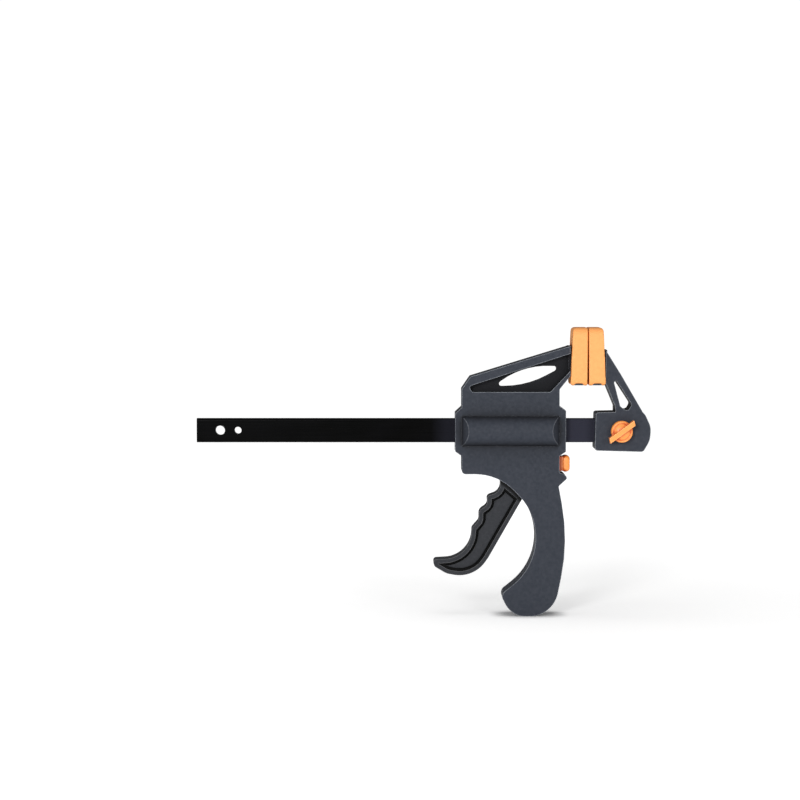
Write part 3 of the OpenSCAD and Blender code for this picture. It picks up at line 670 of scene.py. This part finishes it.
COIL_R, WIRE_D, DRIVE_TURNS, BRAKE_TURNS = 9.3, 1.2, 7.5, 4.2
DRIVE_FROM, DRIVE_TO, BRAKE_FROM, BRAKE_TO = -70.3, -48.85, -34.95, -25.95
drive_mesh = coil("drive_coil", DRIVE_FROM, DRIVE_TO, COIL_R, WIRE_D, DRIVE_TURNS)
drive_coil = stand_for("drive_coil", drive_mesh, spring_steel, "sliding_jaw", "spring_steel",
                       "drive_spring")
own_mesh(drive_coil)
brake_mesh = coil("brake_coil", BRAKE_FROM, BRAKE_TO, COIL_R, WIRE_D, BRAKE_TURNS)
brake_coil = stand_for("brake_coil", brake_mesh, spring_steel, "sliding_jaw", "spring_steel",
                       "brake_spring")
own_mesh(brake_coil)
print("coils:", len(drive_coil.data.polygons), len(brake_coil.data.polygons), "faces")


# %% [markdown]
# ### Screw, nut and shell screws
# A thread is a ridge that climbs as it goes round. A tube of points whose radius follows a slanted
# zigzag draws it without cutting anything, and the same helper serves every thread on the clamp.

# %% Threads
def threaded(from_y, to_y, outer_r, pitch, depth, turns=28, per_pitch=6, tip=0.5):
    """Points and faces of a threaded rod along Y, with both ends chamfered."""
    rows = max(2, round((to_y - from_y) / pitch * per_pitch))
    points = [(0, from_y, 0)]
    for i in range(rows + 1):
        y = from_y + (to_y - from_y) * i / rows
        edge = min(y - from_y, to_y - y)
        for j in range(turns):
            wave = abs(((y / pitch - j / turns) % 1) * 2 - 1)
            r = min(outer_r - depth * wave, outer_r - tip + edge)
            a = 2 * math.pi * j / turns
            points.append((r * math.cos(a), y, r * math.sin(a)))
    points.append((0, to_y, 0))
    last = len(points) - 1
    faces = []
    for j in range(turns):
        k = (j + 1) % turns
        faces.append((0, 1 + j, 1 + k))
        for i in range(rows):
            a = 1 + i * turns
            faces.append((a + j, a + turns + j, a + turns + k, a + k))
        a = 1 + rows * turns
        faces.append((a + k, a + j, last))
    return points, faces


STUD_FROM, STUD_TO, STUD_R, STUD_PITCH, RIDGE = -13.2, 9.85, 2.5, 0.8, 0.45
stud = threaded(STUD_FROM, STUD_TO, STUD_R, STUD_PITCH, RIDGE)
stud_mesh = mesh_from("threaded_stud", moved(stud[0], KNOB_AT), stud[1])
stand_for("threaded_stud", stud_mesh, zinc_steel, "clamping_screw", "zinc_steel", "knob_stud")
print("stud:", len(stud_mesh.polygons), "faces")


# %% [markdown]
# A hex nut's corners are turned down to a cone, which leaves the curved lines seen on every flat.
# The height of the outer ring falls with its distance from the axis, so the lines come by
# themselves.

# %% Nut
CHAMFER_SLOPE, CHAMFER, MOUTH, FACE_SHARE = 0.577, 0.12, 0.4, 0.97
ACROSS_FLATS, NUT_FROM, NUT_HOLE_R = 8, 6.25, 2.55


def hex_nut(across_flats, from_y, to_y, hole_r, per_side=8):
    flat_r = across_flats / 2
    turns = 6 * per_side
    columns = []
    for i in range(turns):
        a = 2 * math.pi * i / turns
        corner = flat_r / math.cos((a + math.pi / 6) % (math.pi / 3) - math.pi / 6)
        drop = (corner - flat_r) * CHAMFER_SLOPE + CHAMFER
        places = ((hole_r, from_y + MOUTH), (hole_r + MOUTH, from_y),
                  (flat_r * FACE_SHARE, from_y), (corner, from_y + drop), (corner, to_y - drop),
                  (flat_r * FACE_SHARE, to_y), (hole_r + MOUTH, to_y), (hole_r, to_y - MOUTH))
        columns.append([(r * math.cos(a), y, r * math.sin(a)) for r, y in places])
    rings = list(zip(*columns))
    points = [p for ring in rings for p in ring]
    faces = []
    for n in range(len(rings)):
        m = (n + 1) % len(rings)
        for i in range(turns):
            j = (i + 1) % turns
            faces.append((n * turns + j, n * turns + i, m * turns + i, m * turns + j))
    return points, faces


nut = hex_nut(ACROSS_FLATS, NUT_FROM, STUD_TO, NUT_HOLE_R)
nut_mesh = mesh_from("chamfered_nut", moved(nut[0], KNOB_AT), nut[1], smooth=False)
stand_for("chamfered_nut", nut_mesh, zinc_steel, "fixed_end", "zinc_steel", "jaw_nut")
print("nut:", len(nut_mesh.polygons), "faces")

# %% [markdown]
# The shell screws are pan heads with a cross recess, sunk in the back shell. Each head is turned
# with a low dome, a tapered cross is taken out of it by a Boolean modifier, and the shank gets a
# coarse thread that bites into plastic.

# %% Shell screws
SCREWS = [(-64.7, -24), (-32.7, -24), (-64.7, -62.7), (-23.1, -78.6), (-32.7, -142.2)]
HEAD_R, HEAD_FROM, HEAD_TO = 2.8, 7.0, 9.0
ARM_LONG, ARM_WIDE = 3.2, 0.75
SHANK_END, SHANK_R, SHANK_PITCH, SHANK_RIDGE, OVERLAP = -4.0, 1.45, 1.1, 0.35, 0.1
head = lathe([(0, HEAD_FROM), (HEAD_R - 0.15, HEAD_FROM), (HEAD_R, HEAD_FROM + 0.2),
              (HEAD_R, HEAD_FROM + 0.9), (HEAD_R - 0.2, HEAD_FROM + 1.35),
              (HEAD_R - 0.7, HEAD_TO - 0.25), (HEAD_R - 1.5, HEAD_TO - 0.06), (0, HEAD_TO)], 40)


def cross_arm(wide_x, wide_z, deep=1.3, above=0.3, floor_share=0.55, mouth_share=1.1):
    points = []
    for share, y in ((floor_share, HEAD_TO - deep), (mouth_share, HEAD_TO + above)):
        points += [(wide_x / 2 * share * a, y, wide_z / 2 * share * b)
                   for a, b in ((-1, -1), (1, -1), (1, 1), (-1, 1))]
    faces = [(0, 1, 2, 3), (7, 6, 5, 4), (4, 5, 1, 0), (5, 6, 2, 1), (6, 7, 3, 2), (7, 4, 0, 3)]
    return points, faces


cutters = []
for points, faces in (cross_arm(ARM_LONG, ARM_WIDE), cross_arm(ARM_WIDE, ARM_LONG)):
    cutter = bpy.data.objects.new("cross_cutter", mesh_from("cross", points, faces, False))
    bpy.context.scene.collection.objects.link(cutter)
    cutters.append(cutter)
head_mesh = shaped(mesh_from("screw_head", head[0], head[1]),
                   *[("BOOLEAN", {"object": cutter, "operation": "DIFFERENCE", "solver": "EXACT"})
                     for cutter in cutters])
for cutter in cutters:
    bpy.data.objects.remove(cutter)
shank = threaded(SHANK_END, HEAD_FROM + OVERLAP, SHANK_R, SHANK_PITCH, SHANK_RIDGE, turns=20,
                 per_pitch=5)
every = joined(*[([(x + sx, y, z + sz) for x, y, z in points], faces)
                 for sx, sz in SCREWS for points, faces in (parts_of(head_mesh), shank)])
screw_mesh = mesh_from("cross_head_screws", moved(every[0]), every[1])
screws = stand_for("cross_head_screws", screw_mesh, zinc_steel, "sliding_jaw", "zinc_steel",
                   "shell_screws")
crisp = screws.modifiers.new("crisp edges", "EDGE_SPLIT")
crisp.split_angle = math.radians(40)
print("screws:", len(SCREWS), "with", len(screw_mesh.polygons), "faces")


# %% [markdown]
# ### Trigger's cheeks
# Inside the trigger's rim lies a raised cheek with a dark groove all round it. Its outline is the
# floor of the CAD trigger's sunk panel, so it is taken from there: the floor's faces are raised to
# a slab, and the slab is drawn in by the groove's width. An inset tool crosses itself where the
# finger grooves are tight. Moving a voxel skin inwards and remeshing it doesn't, and it rounds the
# edges. It goes in by small steps, as one long step would fold the skin over at the corners. The
# slab starts thicker by the groove's width on both sides, because the skin moves in there too.

# %% Trigger cheeks
PANEL_DEEP, CHEEK_RISE, CHEEK_ROOT, GROOVE, STEPS = 3.0, 2.0, 2.5, 1.25, 5
LEVEL_MM, FLAT = 0.02, 0.9


def cheek(side):
    level = side * (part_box("trigger")[1].y - PANEL_DEEP * MM)
    work = bmesh.new()
    work.from_mesh(nodes["trigger"].data)
    bmesh.ops.remove_doubles(work, verts=work.verts, dist=JOIN_MM * MM)
    away = [f for f in work.faces
            if any(abs(v.co.y - level) > LEVEL_MM * MM for v in f.verts) or abs(f.normal.y) < FLAT]
    bmesh.ops.delete(work, geom=away, context="FACES")
    for v in work.verts:
        v.co.y -= side * (CHEEK_ROOT + GROOVE) * MM
    slab = bmesh.ops.extrude_face_region(work, geom=work.faces[:], use_keep_orig=True)
    for v in slab["geom"]:
        if isinstance(v, bmesh.types.BMVert):
            v.co.y += side * (CHEEK_ROOT + CHEEK_RISE + 2 * GROOVE) * MM
    bmesh.ops.recalc_face_normals(work, faces=work.faces[:])
    mesh = bpy.data.meshes.new("cheek")
    work.to_mesh(mesh)
    work.free()
    skin = remesh(0.3)
    inwards = ("DISPLACE", {"strength": -GROOVE / STEPS * MM, "mid_level": 0.0})
    return shaped(mesh, skin, *(inwards, skin) * STEPS, soften(14))


for side, name in ((-1, "near"), (1, "far")):
    piece = stand_for("trigger_cheek_" + name, cheek(side), dark_nylon, "trigger_lever",
                      "dark_nylon")
    print(piece.name, len(piece.data.polygons), "faces")

# %% [markdown]
# ## Floor
# The clamp stands on its grip. The floor is white paper lit through from below, as on a light
# table: a glow that grows away from the clamp keeps it white, and shadows near the grip still show.
# It fades out before the camera could see its edge, so no line shows where it ends.

# %% Floor
FLOOR_HALF = 3.0
low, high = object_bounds()
floor_mesh = bpy.data.meshes.new("floor")
floor = bpy.data.objects.new("floor", floor_mesh)
bpy.context.scene.collection.objects.link(floor)
corners = [(-FLOOR_HALF, -FLOOR_HALF, low.z), (FLOOR_HALF, -FLOOR_HALF, low.z),
           (FLOOR_HALF, FLOOR_HALF, low.z), (-FLOOR_HALF, FLOOR_HALF, low.z)]
floor_mesh.from_pydata(corners, [], [(0, 1, 2, 3)])
paper, tree, shader = new_material("paper")
fibre = use(tree, grain, Size=1.5, Spread=60.0)
tone = mix_colour(tree, fibre.outputs["Height"], (0.9, 0.9, 0.9), (0.93, 0.93, 0.93))
tree.links.new(tone.outputs["Result"], shader.inputs["Base Color"])
shader.inputs["Roughness"].default_value = 0.9
place = add(tree, "ShaderNodeTexCoord")
far = add(tree, "ShaderNodeVectorMath", [(0, place.outputs["Object"])], operation="LENGTH")
glow = mix_colour(tree, remap(tree, far.outputs["Value"], 0.0, 1.0, 0.12, 0.6), (0.38, 0.38, 0.38),
                  (0.9, 0.9, 0.9))
# Painted contact shadow: the paper's glow is dimmed where the crevice mask finds it shut in near
# the grip's foot.
foot_shade = use(tree, crevice_shade, Reach=12.0)
glow_with_painted_shadow = mix_colour(tree, foot_shade.outputs["Mask"], (0, 0, 0), (0.02, 0.02, 0.02))
tree.links.new(glow.outputs["Result"], glow_with_painted_shadow.inputs["A"])
tree.links.new(glow_with_painted_shadow.outputs["Result"], shader.inputs["Emission Color"])
shader.inputs["Emission Strength"].default_value = 1.0
tree.links.new(remap(tree, far.outputs["Value"], 1.0, 0.0, 0.7, 1.6), shader.inputs["Alpha"])
floor_mesh.materials.append(paper)
print("floor at", round(low.z / MM, 1), "mm")
